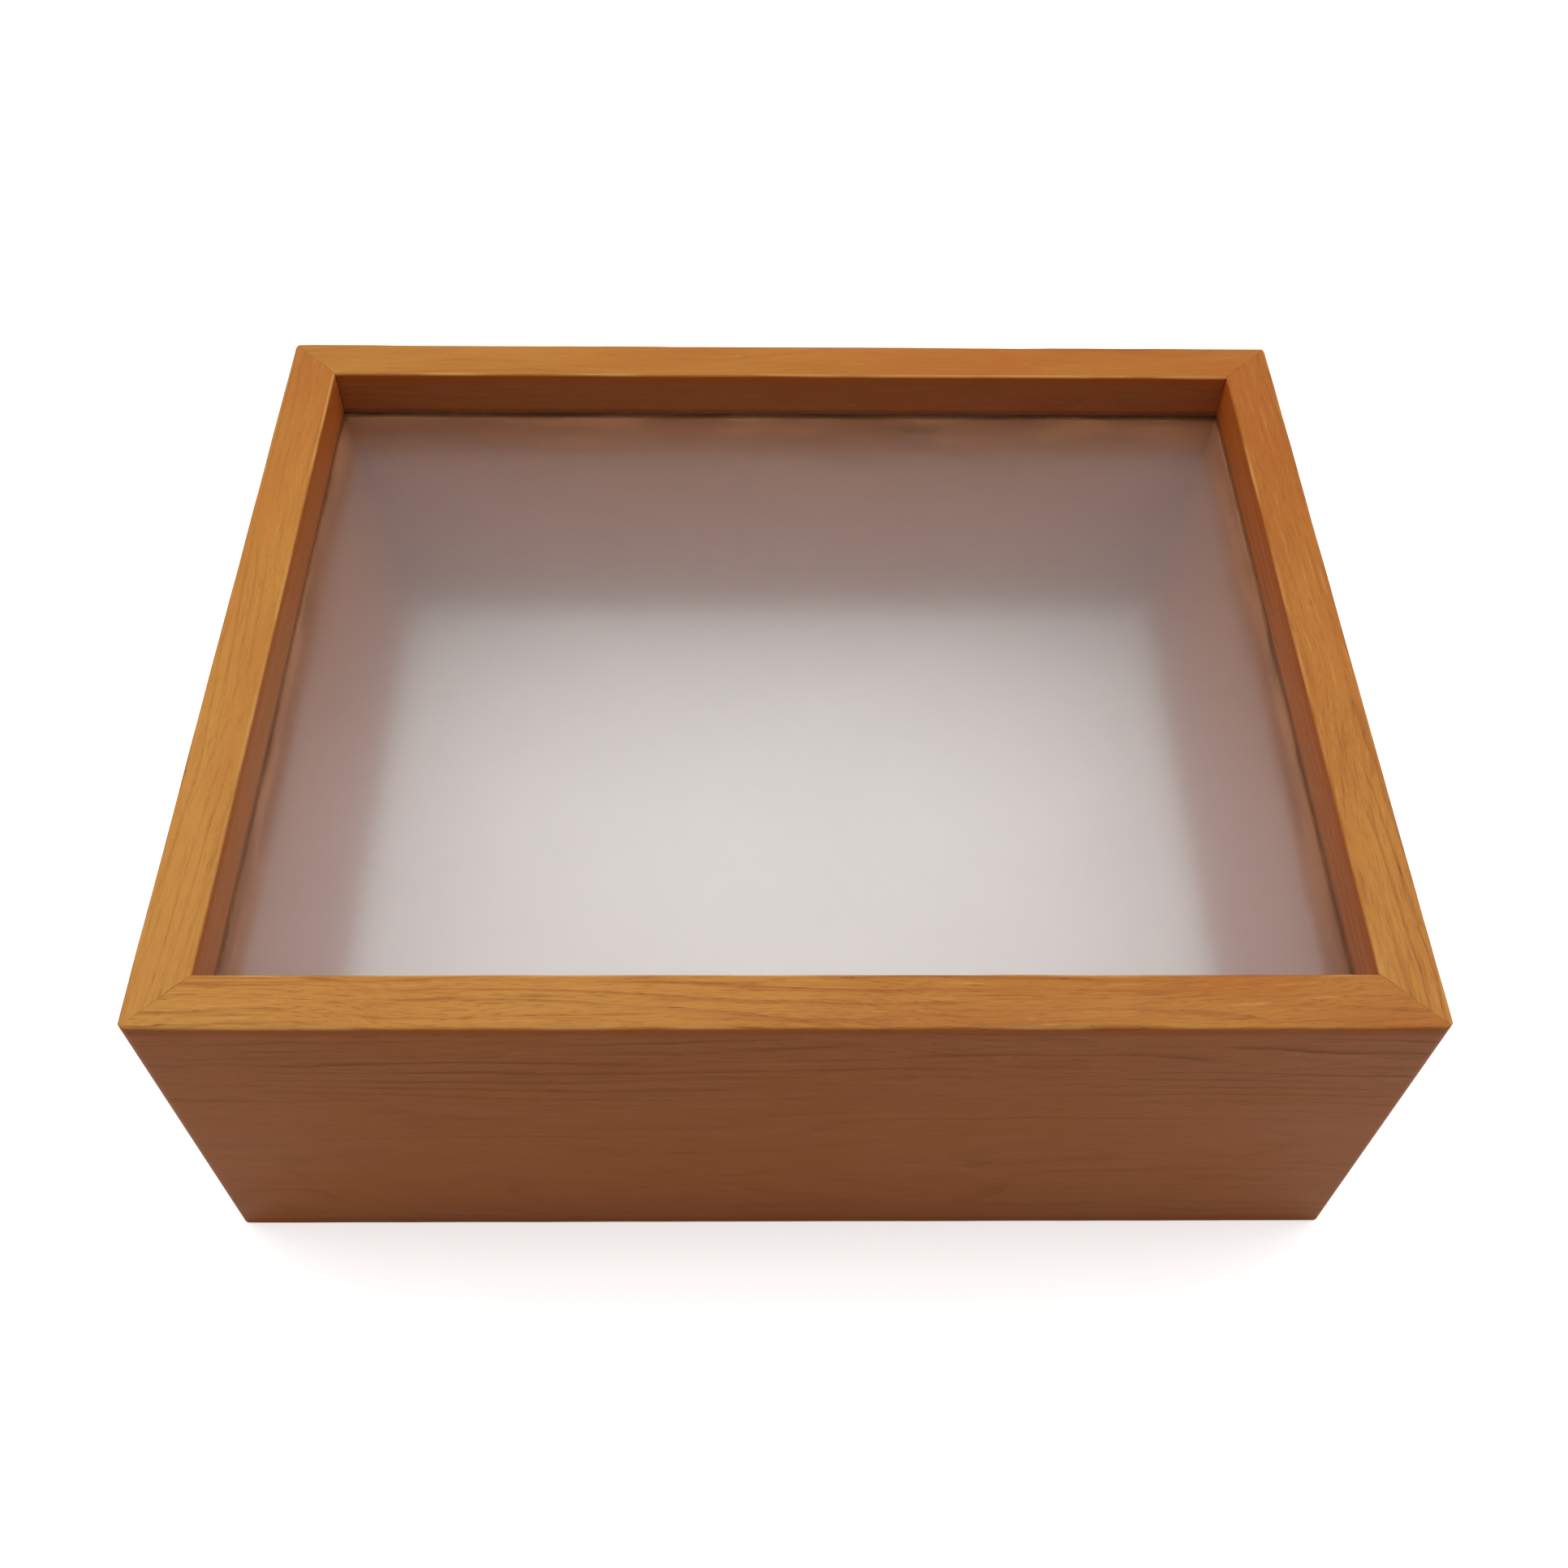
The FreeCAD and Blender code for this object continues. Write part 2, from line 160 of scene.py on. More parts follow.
class Sheet:
    """A node tree that is filled by code."""

    MIX_A = 6
    MIX_B = 7
    MIX_RESULT = 2

    def __init__(self, tree: bpy.types.NodeTree) -> None:
        """Empties the tree and keeps it."""
        tree.nodes.clear()
        self.tree = tree

    def node(
        self,
        kind: str,
        settings: dict[str, Any] | None = None,
        sockets: dict[int | str, Any] | None = None,
    ) -> bpy.types.Node:
        """Adds a node, sets it and joins it up.

        Args:
            kind: The node's type.
            settings: The node's own settings, set first. A list of items gets
                the number that it grows to.
            sockets: Values or wires of its input sockets, by name or number. A
                socket that takes several wires gets a list.

        Returns:
            The new node.
        """
        made = self.tree.nodes.new(kind)
        for name, value in (settings or {}).items():
            items = getattr(made, name)
            if hasattr(items, "new"):
                while len(items) < value:
                    items.new()
            else:
                setattr(made, name, value)
        for key, value in (sockets or {}).items():
            socket = made.inputs[key]
            if isinstance(value, Wire):
                self.tree.links.new(value.socket, socket)
            elif isinstance(value, list):
                for wire in value:
                    self.tree.links.new(wire.socket, socket)
            elif socket.type == "RGBA" and len(value) == 3:
                socket.default_value = (*value, 1)
            else:
                socket.default_value = value
        return made

    def out(
        self,
        kind: str,
        settings: dict[str, Any] | None = None,
        sockets: dict[int | str, Any] | None = None,
        output: int | str = 0,
    ) -> Wire:
        """Adds a node as node() does and returns one of its outputs."""
        return Wire(self, self.node(kind, settings, sockets).outputs[output])

    def maths(self, operation: str, *values: Wire | float) -> Wire:
        """One Math node on the given values."""
        return self.out("ShaderNodeMath", {"operation": operation}, dict(enumerate(values)))

    def mix(self, share: Wire | float, first: Wire | Colour, second: Wire | Colour) -> Wire:
        """The first colour where share is 0, going over to the second where it is 1."""
        return self.out(
            "ShaderNodeMix",
            {"data_type": "RGBA"},
            {0: share, self.MIX_A: first, self.MIX_B: second},
            self.MIX_RESULT,
        )

    def split(self, vector: Wire) -> tuple[Wire, Wire, Wire]:
        """The three parts of a vector."""
        parts = self.node("ShaderNodeSeparateXYZ", None, {0: vector}).outputs
        return Wire(self, parts[0]), Wire(self, parts[1]), Wire(self, parts[2])

    def join(self, x: Wire | float, y: Wire | float, z: Wire | float) -> Wire:
        """The vector with three given parts."""
        return self.out("ShaderNodeCombineXYZ", {}, {0: x, 1: y, 2: z})

    def noise(self, vector: Wire, scale: Colour, shift: float = 0.0, detail: float = 2.0) -> Wire:
        """Soft noise between 0 and 1 with its own number of cells a millimetre on each axis.

        Args:
            vector: Places in millimetres.
            scale: Cells for each millimetre along X, Y and Z.
            shift: Moves the pattern on, so that pieces differ.
            detail: How many finer layers are added.

        Returns:
            The noise.
        """
        places = self.out(
            "ShaderNodeVectorMath", {"operation": "MULTIPLY_ADD"}, {0: vector, 1: scale, 2: (shift, shift, shift)}
        )
        return self.out("ShaderNodeTexNoise", {}, {"Vector": places, "Scale": 1.0, "Detail": detail})


class Recipe(Sheet):
    """A Geometry Nodes tree with named inputs, run once for each piece."""

    RULE_NAMES = "rule_*"

    def __init__(self, name: str) -> None:
        """Makes an empty tree that takes and gives one geometry."""
        super().__init__(bpy.data.node_groups.new(name, "GeometryNodeTree"))
        self.tree.interface.new_socket("Geometry", in_out="OUTPUT", socket_type="NodeSocketGeometry")
        self.entry = self.tree.nodes.new("NodeGroupInput")
        self.places = self.given("Places", "Geometry")
        self.index = self.out("GeometryNodeInputIndex")
        self.position = self.out("GeometryNodeInputPosition")

    def given(self, name: str, kind: str = "Float") -> Wire:
        """A named input of the recipe."""
        self.tree.interface.new_socket(name, in_out="INPUT", socket_type=f"NodeSocket{kind}")
        return Wire(self, self.entry.outputs[name])

    def pick(self, kind: str, choices: list[Wire | float]) -> Wire:
        """One of several values, by a point's number.

        Args:
            kind: The values' data type.
            choices: The value of each point in order.

        Returns:
            The point's own value.
        """
        settings = {"data_type": kind, "index_switch_items": len(choices)}
        sockets = {number + 1: choice for number, choice in enumerate(choices)}
        return self.out("GeometryNodeIndexSwitch", settings, {0: self.index, **sockets})

    def keep(self, geometry: Wire, name: str, kind: str, value: Wire) -> Wire:
        """Writes a value on each point, for a rule to read after the sweep."""
        return self.out(
            "GeometryNodeStoreNamedAttribute", {"data_type": kind}, {"Geometry": geometry, "Name": name, "Value": value}
        )

    def kept(self, name: str, kind: str) -> Wire:
        """Reads a value that keep() wrote."""
        return self.out("GeometryNodeInputNamedAttribute", {"data_type": kind}, {"Name": name}, "Attribute")

    def place(self, geometry: Wire, position: Wire) -> Wire:
        """Puts each point at its new position."""
        return self.out("GeometryNodeSetPosition", {}, {"Geometry": geometry, "Position": position})

    def outline(self, corners: list[Wire], closed: bool) -> Wire:
        """A curve of straight runs through the given corners.

        Args:
            corners: The corners in order.
            closed: Whether it comes back to the first one.

        Returns:
            The curve.
        """
        if closed:
            wire = self.out("GeometryNodeMeshCircle", {"fill_type": "NONE"}, {"Vertices": len(corners)})
        else:
            wire = self.out("GeometryNodeMeshLine", {}, {"Count": len(corners), "Offset": (0, 0, 1)})
        curve = self.out("GeometryNodeMeshToCurve", {}, {"Mesh": self.place(wire, self.pick("VECTOR", corners))})
        return curve

    def ladder(self, count: int) -> Wire:
        """A straight curve of a number of points, whose places a rule gives later."""
        line = self.out("GeometryNodeCurvePrimitiveLine", {}, {"Start": (0, 0, 0), "End": (0, 0, 1)})
        return self.out("GeometryNodeResampleCurve", {}, {"Curve": line, "Count": count})

    def sweep(self, path: Wire, section: Wire) -> Wire:
        """A closed mesh of a section along a path."""
        return self.out(
            "GeometryNodeCurveToMesh", {}, {"Curve": path, "Profile Curve": section, "Fill Caps": True}
        )

    def give(self, geometry: Wire) -> None:
        """Ends the recipe with real meshes in metres that have one finish."""
        metres = self.out("GeometryNodeTransform", {}, {"Geometry": geometry, "Scale": (MM, MM, MM)})
        whole = self.out("GeometryNodeRealizeInstances", {}, {"Geometry": metres})
        plain = self.out(
            "GeometryNodeRemoveAttribute", {"pattern_mode": "WILDCARD"}, {"Geometry": whole, "Name": self.RULE_NAMES}
        )
        finish = self.given("Finish", "Material")
        painted = self.out("GeometryNodeSetMaterial", {}, {"Geometry": plain, "Material": finish})
        self.node("NodeGroupOutput", {}, {0: painted})

    def piece(
        self,
        name: str,
        sizes: dict[str, float],
        finish: bpy.types.Material,
        places: list[Colour] | None = None,
    ) -> bpy.types.Object:
        """Runs the recipe and keeps the result as a plain mesh.

        Args:
            name: The piece's name.
            sizes: The recipe's inputs by name.
            finish: The piece's material.
            places: Where it is repeated, in millimetres.

        Returns:
            The piece, with no modifier left on it.
        """
        points = bmesh.new()
        for place in places or ():
            points.verts.new(place)
        piece = new_piece(name, points)
        modifier = piece.modifiers.new(name, "NODES")
        modifier.node_group = self.tree
        sockets = {item.name: item.identifier for item in self.tree.interface.items_tree if item.in_out == "INPUT"}
        for key, value in {**sizes, "Finish": finish}.items():
            modifier[sockets[key]] = value
        seen = piece.evaluated_get(bpy.context.evaluated_depsgraph_get())
        piece.data = bpy.data.meshes.new_from_object(seen)
        piece.data.name = name
        piece.modifiers.clear()
        return piece


class Finish:
    """What every finish has: a material with one Principled shader."""

    name: str

    def colour_and_relief(self, sheet: Sheet) -> dict[str, Any]:
        """The shader's sockets. Each finish gives its own."""
        raise NotImplementedError

    def material(self) -> bpy.types.Material:
        """Builds the finish as a material.

        Returns:
            The material.
        """
        made = bpy.data.materials.new(self.name)
        made.use_nodes = True
        sheet = Sheet(made.node_tree)
        shader = sheet.out("ShaderNodeBsdfPrincipled", {}, self.colour_and_relief(sheet))
        sheet.node("ShaderNodeOutputMaterial", {}, {"Surface": shader})
        return made


def places_in_millimetres(sheet: Sheet, turn: float = 0.0, shift: Colour = (0, 0, 0)) -> Wire:
    """A piece's own coordinates in millimetres.

    Args:
        sheet: The tree that gets the nodes.
        turn: Angle in radians that the places are turned back by, about Z.
        shift: What is added after the turn, in millimetres.

    Returns:
        The places as a vector.
    """
    source = sheet.out("ShaderNodeTexCoord", {}, {}, "Object")
    return sheet.out(
        "ShaderNodeMapping",
        {},
        {"Vector": source, "Scale": (1 / MM,) * 3, "Rotation": (0, 0, -turn), "Location": shift},
    )


def relief(sheet: Sheet, height: Wire, depth: float, strength: float = 1.0) -> Wire:
    """A Bump node whose height of 1 stands for a depth in millimetres."""
    return sheet.out(
        "ShaderNodeBump", {}, {"Height": height, "Distance": depth * MM, "Strength": strength}
    )


@dataclass(frozen=True)
class WoodTone:
    """The stain's colours on one board, with the colours of its painted shade and glow, how much redder each millimetre
    along it is, and how much painted light its sides get each millimetre along.
    """

    golden: Colour
    amber: Colour
    pale: Colour
    line: Colour
    pore: Colour
    side: Colour
    # colour that the sides' random mottle and their painted light and glow go towards
    rosy: Colour = (0.60, 0.24, 0.095)
    # dark red of the stain pooled under the front edge, also used for painted shade
    soak_shade_colour: Colour = (0.45, 0.092, 0.008)
    amber_share: float = 0.35
    blush: float = 0.0
    side_blush: float = 0.0


@dataclass(frozen=True)
class SawnBoard:
    """How a board lies in its log, in millimetres from its outer lower edge."""

    heart_in: float
    heart_up: float
    ring_spacing: float
    shift: float


@dataclass(frozen=True)
class BoardPlace:
    """Where a board stands: its side, its outer face's reach and its length."""

    side: Side
    reach: float
    length: float


@dataclass(frozen=True)
class StainedWood(Finish):
    """Open-grained wood, stained and lacquered, its grain along one board."""

    name: str
    place: BoardPlace
    tone: WoodTone
    board: SawnBoard
    front: float
    thickness: float
    figure: float = 1.0
    bend: float = 16.0
    roughness: float = 0.46
    coat: float = 0.04
    ring_strength: float = 0.42
    silk_strength: float = 0.4
    fibre_strength: float = 0.45
    pore_strength: float = 0.5
    side_share: float = 0.4
    side_tone: float = 0.85
    dust: float = 0.0
    mitre_line: float = 0.2
    mitre_strength: float = 0.6
    edge_width: float = 1.0
    burn: float = 0.7
    deepen: float = 0.0
    lip: float = 0.0

    def rings(self, sheet: Sheet, here: Wire) -> Wire:
        """Growth rings round the log's heart, dark where each year's wood starts.

        Args:
            sheet: The material's tree.
            here: Places on the board: along, inward and up, in millimetres.

        Returns:
            1 on a dark line and 0 between the lines.
        """
        shift = self.board.shift
        _, inward, up = sheet.split(here)
        drift = sheet.noise(here, (0.005, 0.03, 0.03), shift, 1.0)
        waver = sheet.noise(here, (0.04, 0.3, 0.3), shift + 7, 2.0)
        radius = ((inward - self.board.heart_in) ** 2 + (up - self.board.heart_up) ** 2) ** 0.5
        radius = radius + (drift - 0.5) * 18 + (waver - 0.5) * 1.4
        year = sheet.maths("FRACT", radius / self.board.ring_spacing + 100)
        bold = sheet.noise(here, (0.01, 0.12, 0.12), shift + 13, 1.0).ramp(0.4, 0.64)
        return year.ramp(0.0, 0.06) * year.ramp(0.45, 0.08) * (0.12 + 0.88 * bold)

    def colour_and_relief(self, sheet: Sheet) -> dict[str, Any]:
        """Growth rings, silky streaks, fibres, pores, patches of stain, rubbed edges with a painted highlight, and
        painted shade and glow.

        Args:
            sheet: The material's tree.

        Returns:
            The shader's sockets.
        """
        shift = self.board.shift
        here = places_in_millimetres(sheet, self.place.side.turn, (0, self.place.reach, 0))
        along, inward, up = sheet.split(here)
        bend = (sheet.noise(here, (0.009, 0.02, 0.02), shift + 5, 2.0) - 0.5) * self.bend
        grain = sheet.join(along, inward + bend, up + bend)
        rings = self.rings(sheet, grain)
        silk = sheet.noise(grain, (0.04, 1.0, 1.0), shift + 29, 2.0)
        fibre = sheet.noise(grain, (0.2, 3.2, 3.2), shift + 37, 1.0)
        pores = sheet.noise(grain, (0.22, 2.6, 2.6), shift + 41, 1.0).ramp(0.6, 0.74) * (0.3 + 0.7 * rings)
        patch = sheet.noise(here, (0.016, 0.06, 0.06), shift + 53, 2.0).ramp(0.3, 0.7)
        mottle = sheet.noise(here, (0.05, 0.09, 0.09), shift + 67, 3.0).ramp(0.3, 0.7)
        knocks = sheet.noise(here, (0.03, 0.2, 0.2), shift + 61, 2.0)

        below = self.front - up
        top = below.ramp(1.0, 0.2)
        side = 1 - top
        behind = up.ramp(18.0, 12.0) * inward.ramp(0.5, 1.5)
        strength = (self.side_share * (1 + below.ramp(45.0, 15.0) + behind * 1.5) * side + top) * self.figure
        redder = patch * 0.4 - 0.2 + self.tone.amber_share + along * self.tone.blush
        # the sides get a random paler mottle, with painted light towards the right of the front board and a painted
        # glow low on the liners' walls, where the white board lights them
        mottle_and_painted_glow = side * ((along * self.tone.side_blush).most(0.0) + mottle * 0.1 + up.ramp(80.0, 25.0) * self.dust)
        # pale rubbed edges that are also a painted highlight on the eased edges; on the liners the wide band is a
        # painted glow just below the pane
        outer_edge = (inward**2 + below**2).root()
        inner_edge = ((inward - self.thickness) ** 2 + below**2).root()
        edge = outer_edge.least(inner_edge).ramp(self.edge_width, self.edge_width * 0.2) * knocks.ramp(0.42, 0.62)
        # stain pooled under the front edge with painted shade there, plus a painted contact shade along the bottom few
        # millimetres
        soak_and_shade = below.ramp(0.5, 0.9) * below.ramp(4.2, 2.4) + up.ramp(6.0, 1.0)
        # painted shade: side faces darken towards the rear corners
        soak_and_shade = soak_and_shade + side * (along * self.deepen).most(0.0)
        joint = abs(self.place.length / 2 - inward - abs(along)) * math.sqrt(0.5)
        seam = joint.ramp(self.mitre_line, self.mitre_line * 0.3) * knocks.ramp(0.3, 0.6)
        seam = seam * (0.2 + 0.8 * inward.ramp(2.0, self.thickness)) * self.mitre_strength

        colour = sheet.mix(redder.most(0.0).least(1.0), self.tone.golden, self.tone.amber)
        colour = sheet.mix(side * self.side_tone, colour, self.tone.side)
        colour = sheet.mix(mottle_and_painted_glow, colour, self.tone.rosy)
        colour = sheet.mix(silk.ramp(0.58, 0.84) * strength * self.silk_strength, colour, self.tone.pale)
        colour = sheet.mix(silk.ramp(0.48, 0.26) * strength * self.silk_strength, colour, self.tone.line)
        colour = sheet.mix(fibre.ramp(0.5, 0.8) * strength * self.fibre_strength, colour, self.tone.line)
        lined = strength + side * below.ramp(45.0, 15.0) * 0.5 * self.figure
        colour = sheet.mix(rings * lined * self.ring_strength, colour, self.tone.line)
        # mixes in the dark red of the pooled stain and the painted shade
        colour = sheet.mix(soak_and_shade.least(1.0) * self.burn * (0.5 + knocks), colour, self.tone.soak_shade_colour)
        # painted highlight on the rubbed edges, and painted glow on the liners near the pane
        colour = sheet.mix(edge * 0.7, colour, self.tone.pale)
        dark = (pores * strength * self.pore_strength).most(seam)
        if self.lip:
            # painted shadow: a dark line at the foot of the lip's inner face, where it meets the pane
            under = below.ramp(self.lip - 2.6, self.lip - 1.2) * inward.ramp(self.thickness - 1.2, self.thickness - 0.6)
            dark = dark.most(under * 0.65)
        colour = sheet.mix(dark, colour, self.tone.pore)

        wear = sheet.noise(here, (0.02, 0.06, 0.06), shift + 71, 3.0)
        sawn = sheet.noise(here, (1.5, 0.12, 0.12), shift + 79, 1.0) * behind
        rough = self.roughness + (wear - 0.5) * 0.16 + pores * 0.12 + behind * 0.15
        height = silk * 0.3 + fibre * 0.15 - rings * 0.25 - pores * 0.8 - seam + sawn
        return {
            "Base Color": colour,
            "Roughness": rough,
            "Specular IOR Level": 0.1,
            "Coat Weight": self.coat,
            "Coat Roughness": 0.3,
            "Normal": relief(sheet, height, 0.06),
        }


@dataclass(frozen=True)
class EtchedGlass(Finish):
    """Non-glare glass: clear close up, hazier the further a thing lies behind it."""

    name: str
    tint: Colour = (0.93, 0.92, 0.91)
    haze: Colour = (0.88, 0.86, 0.85)
    blur: float = 0.22
    scatter: float = 0.7
    scatter_share: float = 0.21
    clearness: float = 1.0
    shine: Colour = (0.65, 0.65, 0.68)

    def colour_and_relief(self, sheet: Sheet) -> dict[str, Any]:
        """Faint clouds of etching and specks of dust."""
        here = places_in_millimetres(sheet)
        cloud = sheet.noise(here, (0.02, 0.03, 0.02), 3, 3.0)
        dust = sheet.noise(here, (0.9, 0.9, 0.9), 11, 1.0).ramp(0.7, 0.85)
        frost = sheet.noise(here, (40.0, 40.0, 40.0), 23, 0.0)
        middle = 0.5 + (0.5 - self.scatter_share) * 0.5
        frost = frost.ramp(middle - 0.04, middle + 0.04)
        return {
            "Base Color": sheet.mix((cloud * 0.5 + dust * 0.5).least(1.0), self.tint, self.haze),
            "Roughness": self.blur + (cloud - 0.5) * 0.04 + frost * (self.scatter - self.blur),
            "IOR": 1.5,
            "Specular Tint": self.shine,
            "Transmission Weight": self.clearness,
        }


@dataclass(frozen=True)
class PaperFace(Finish):
    """The white paper face of a mount board."""

    name: str
    white: Colour = (0.79, 0.79, 0.79)
    shade: Colour = (0.71, 0.71, 0.705)

    def colour_and_relief(self, sheet: Sheet) -> dict[str, Any]:
        """Short paper fibres in every direction over a slow mottling."""
        here = places_in_millimetres(sheet)
        fibre = sheet.noise(here, (1.4, 0.5, 1.0), 5, 3.0) + sheet.noise(here, (0.5, 1.4, 1.0), 9, 3.0)
        mottle = sheet.noise(here, (0.02, 0.02, 0.02), 17, 2.0)
        tone = (fibre - 1.0).ramp(-0.3, 0.3) * 0.5 + mottle * 0.3
        return {
            "Base Color": sheet.mix(tone.least(1.0), self.white, self.shade),
            "Roughness": 0.82 + (mottle - 0.5) * 0.1,
            "Specular IOR Level": 0.3,
            "Normal": relief(sheet, fibre, 0.03),
        }


@dataclass(frozen=True)
class PressedFibre(Finish):
    """Brown fibreboard, smooth and slightly waxy, with pressed fibres."""

    name: str
    brown: Colour = (0.30, 0.165, 0.085)
    dark: Colour = (0.17, 0.092, 0.048)
    fleck: Colour = (0.06, 0.032, 0.018)

    def colour_and_relief(self, sheet: Sheet) -> dict[str, Any]:
        """Matted fibres that lie both ways, dark flecks of bark and faint clouds."""
        here = places_in_millimetres(sheet)
        cloud = sheet.noise(here, (0.03, 0.04, 0.03), 2, 3.0)
        along = sheet.noise(here, (0.8, 5.0, 4.0), 8, 2.0)
        across = sheet.noise(here, (5.0, 0.8, 4.0), 14, 2.0)
        matted = along.most(across).ramp(0.48, 0.72)
        fleck = sheet.noise(here, (1.1, 1.6, 1.3), 31, 1.0).ramp(0.7, 0.78)
        tone = matted * 0.5 + cloud * 0.35
        colour = sheet.mix(tone.least(1.0), self.brown, self.dark)
        return {
            "Base Color": sheet.mix(fleck * 0.6, colour, self.fleck),
            "Roughness": 0.6 + matted * 0.15,
            "Normal": relief(sheet, matted, 0.05),
        }


@dataclass(frozen=True)
class PlatedSteel(Finish):
    """Plated sheet steel or wire, rolled along X and a little dulled."""

    name: str
    bright: Colour = (0.70, 0.68, 0.63)
    dull: Colour = (0.42, 0.40, 0.36)
    roughness: float = 0.32

    def colour_and_relief(self, sheet: Sheet) -> dict[str, Any]:
        """Rolling lines, dull blooms and small pits."""
        here = places_in_millimetres(sheet)
        rolled = sheet.noise(here, (0.4, 9.0, 9.0), 4, 2.0)
        bloom = sheet.noise(here, (0.3, 0.3, 0.3), 12, 4.0).ramp(0.4, 0.7)
        pit = sheet.noise(here, (5.0, 5.0, 5.0), 21, 1.0).ramp(0.7, 0.8)
        return {
            "Base Color": sheet.mix(bloom * 0.7 + pit * 0.3, self.bright, self.dull),
            "Metallic": 1.0 - bloom * 0.15,
            "Roughness": self.roughness + bloom * 0.2 + (rolled - 0.5) * 0.1,
            "Normal": relief(sheet, rolled * 0.4 - pit, 0.02),
        }


@dataclass(frozen=True)
class PaleFloor:
    """A white studio floor that keeps the object's shadow and fades into the background."""

    name: str
    pale: Colour = (0.66, 0.66, 0.66)
    lift: float = 0.6
    near: float = 0.32
    far: float = 1.1

    def material(self) -> bpy.types.Material:
        """Builds the floor's material.

        Returns:
            A diffuse floor, brightened for camera, mirror and glass rays, glowing
            white far from the object and clear from below.
        """
        made = bpy.data.materials.new(self.name)
        made.use_nodes = True
        sheet = Sheet(made.node_tree)
        seen = seen_directly(sheet)
        here = places_in_millimetres(sheet)
        lifted = seen_directly(sheet, with_mirrors=False)
        grain = sheet.noise(here, (0.02, 0.02, 0.02), 1, 3.0)
        east, north, _ = sheet.split(here)
        distance = (east**2 + north**2) ** 0.5 * MM
        fade = distance.ramp(self.near, self.far)
        white = sheet.mix(seen, self.pale, (1, 1, 1))
        matt = sheet.out("ShaderNodeBsdfDiffuse", {}, {"Color": sheet.mix(grain * 0.02, white, self.pale)})
        glow = sheet.out("ShaderNodeEmission", {}, {"Strength": lifted * self.lift + seen * fade})
        lit = sheet.out("ShaderNodeAddShader", {}, {0: matt, 1: glow})
        below = sheet.out("ShaderNodeNewGeometry", {}, {}, "Backfacing")
        clear = sheet.out("ShaderNodeBsdfTransparent")
        both = sheet.out("ShaderNodeMixShader", {}, {0: below, 1: lit, 2: clear})
        sheet.node("ShaderNodeOutputMaterial", {}, {"Surface": both})
        return made


def seen_directly(sheet: Sheet, with_mirrors: bool = True) -> Wire:
    """1 for camera, mirror and glass rays, and 0 for the rays that carry light.

    Args:
        sheet: The tree that gets the nodes.
        with_mirrors: Whether mirror rays count.

    Returns:
        The value.
    """
    path = sheet.node("ShaderNodeLightPath")
    camera, mirror, glass = (
        Wire(sheet, path.outputs[name]) for name in ("Is Camera Ray", "Is Glossy Ray", "Is Transmission Ray")
    )
    seen = camera.most(glass)
    return seen.most(mirror) if with_mirrors else seen


def dress(piece: bpy.types.Object, material: bpy.types.Material) -> None:
    """Gives a piece one material in every slot."""
    piece.data.materials.clear()
    piece.data.materials.append(material)


def new_piece(name: str, mesh: bmesh.types.BMesh) -> bpy.types.Object:
    """Makes a piece of a finished mesh, at the origin and unturned.

    Args:
        name: The piece's name.
        mesh: Its mesh, in metres. It is freed.

    Returns:
        The piece's object, linked to the scene.
    """
    data = bpy.data.meshes.new(name)
    mesh.to_mesh(data)
    mesh.free()
    piece = bpy.data.objects.new(name, data)
    bpy.context.scene.collection.objects.link(piece)
    return piece


def smooth_round(piece: bpy.types.Object, crease: float = 32.0) -> None:
    """Shades a piece smooth, but for edges that turn by more than crease degrees."""
    data = piece.data
    data.polygons.foreach_set("use_smooth", [True] * len(data.polygons))
    data.set_sharp_from_angle(angle=math.radians(crease))


def stand_for(piece: bpy.types.Object, node: str, body: str) -> None:
    """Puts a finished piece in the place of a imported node."""
    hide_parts(node)
    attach(piece, body)
    LOG.info("built %s for %s: %d faces", piece.name, node, len(piece.data.polygons))


def eased_plate(name: str, low: Vector, high: Vector, ease: float, steps: int = 2) -> bpy.types.Object:
    """A flat plate between two corners with rounded edges.

    Args:
        name: The piece's name.
        low: Its lowest corner, in metres.
        high: Its highest corner, in metres.
        ease: How much its edges are rounded by, in millimetres.
        steps: The number of faces across each rounded edge.

    Returns:
        The plate.
    """
    mesh = bmesh.new()
    bmesh.ops.create_cube(mesh, size=1)
    bmesh.ops.scale(mesh, vec=high - low, verts=mesh.verts)
    bmesh.ops.translate(mesh, vec=(low + high) / 2, verts=mesh.verts)
    bmesh.ops.bevel(mesh, geom=mesh.edges[:], offset=ease * MM, segments=steps, affect="EDGES", profile=0.5)
    return new_piece(name, mesh)


def eased_copy(name: str, node: str, ease: float, steps: int = 2, crease: float = 35.0) -> bpy.types.Object:
    """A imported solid's own shape with its sharp edges rounded.

    Args:
        name: The piece's name.
        node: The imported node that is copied.
        ease: How much its edges are rounded by, in millimetres.
        steps: The number of faces across each rounded edge.
        crease: Edges that turn by more degrees than this are rounded.

    Returns:
        The copy.
    """
    mesh = bmesh.new()
    mesh.from_mesh(frame["nodes"][node].data)
    bmesh.ops.remove_doubles(mesh, verts=mesh.verts, dist=MM / 1000)
    bmesh.ops.dissolve_limit(mesh, angle_limit=math.radians(1), verts=mesh.verts, edges=mesh.edges)
    sharp = [
        edge for edge in mesh.edges if edge.is_manifold and edge.calc_face_angle() > math.radians(crease)
    ]
    bmesh.ops.bevel(
        mesh, geom=sharp, offset=ease * MM, segments=steps, affect="EDGES", profile=0.5, clamp_overlap=True
    )
    piece = new_piece(name, mesh)
    smooth_round(piece)
    return piece


@dataclass(frozen=True)
class BoardSection:
    """An L-shaped section, thin behind and thick in front, in millimetres."""

    low: float
    step: float
    high: float
    wall: float
    thickness: float
    front_thickness: float
    outer_back_ease: float
    inner_back_ease: float
    front_ease: float
    lip_ease: float


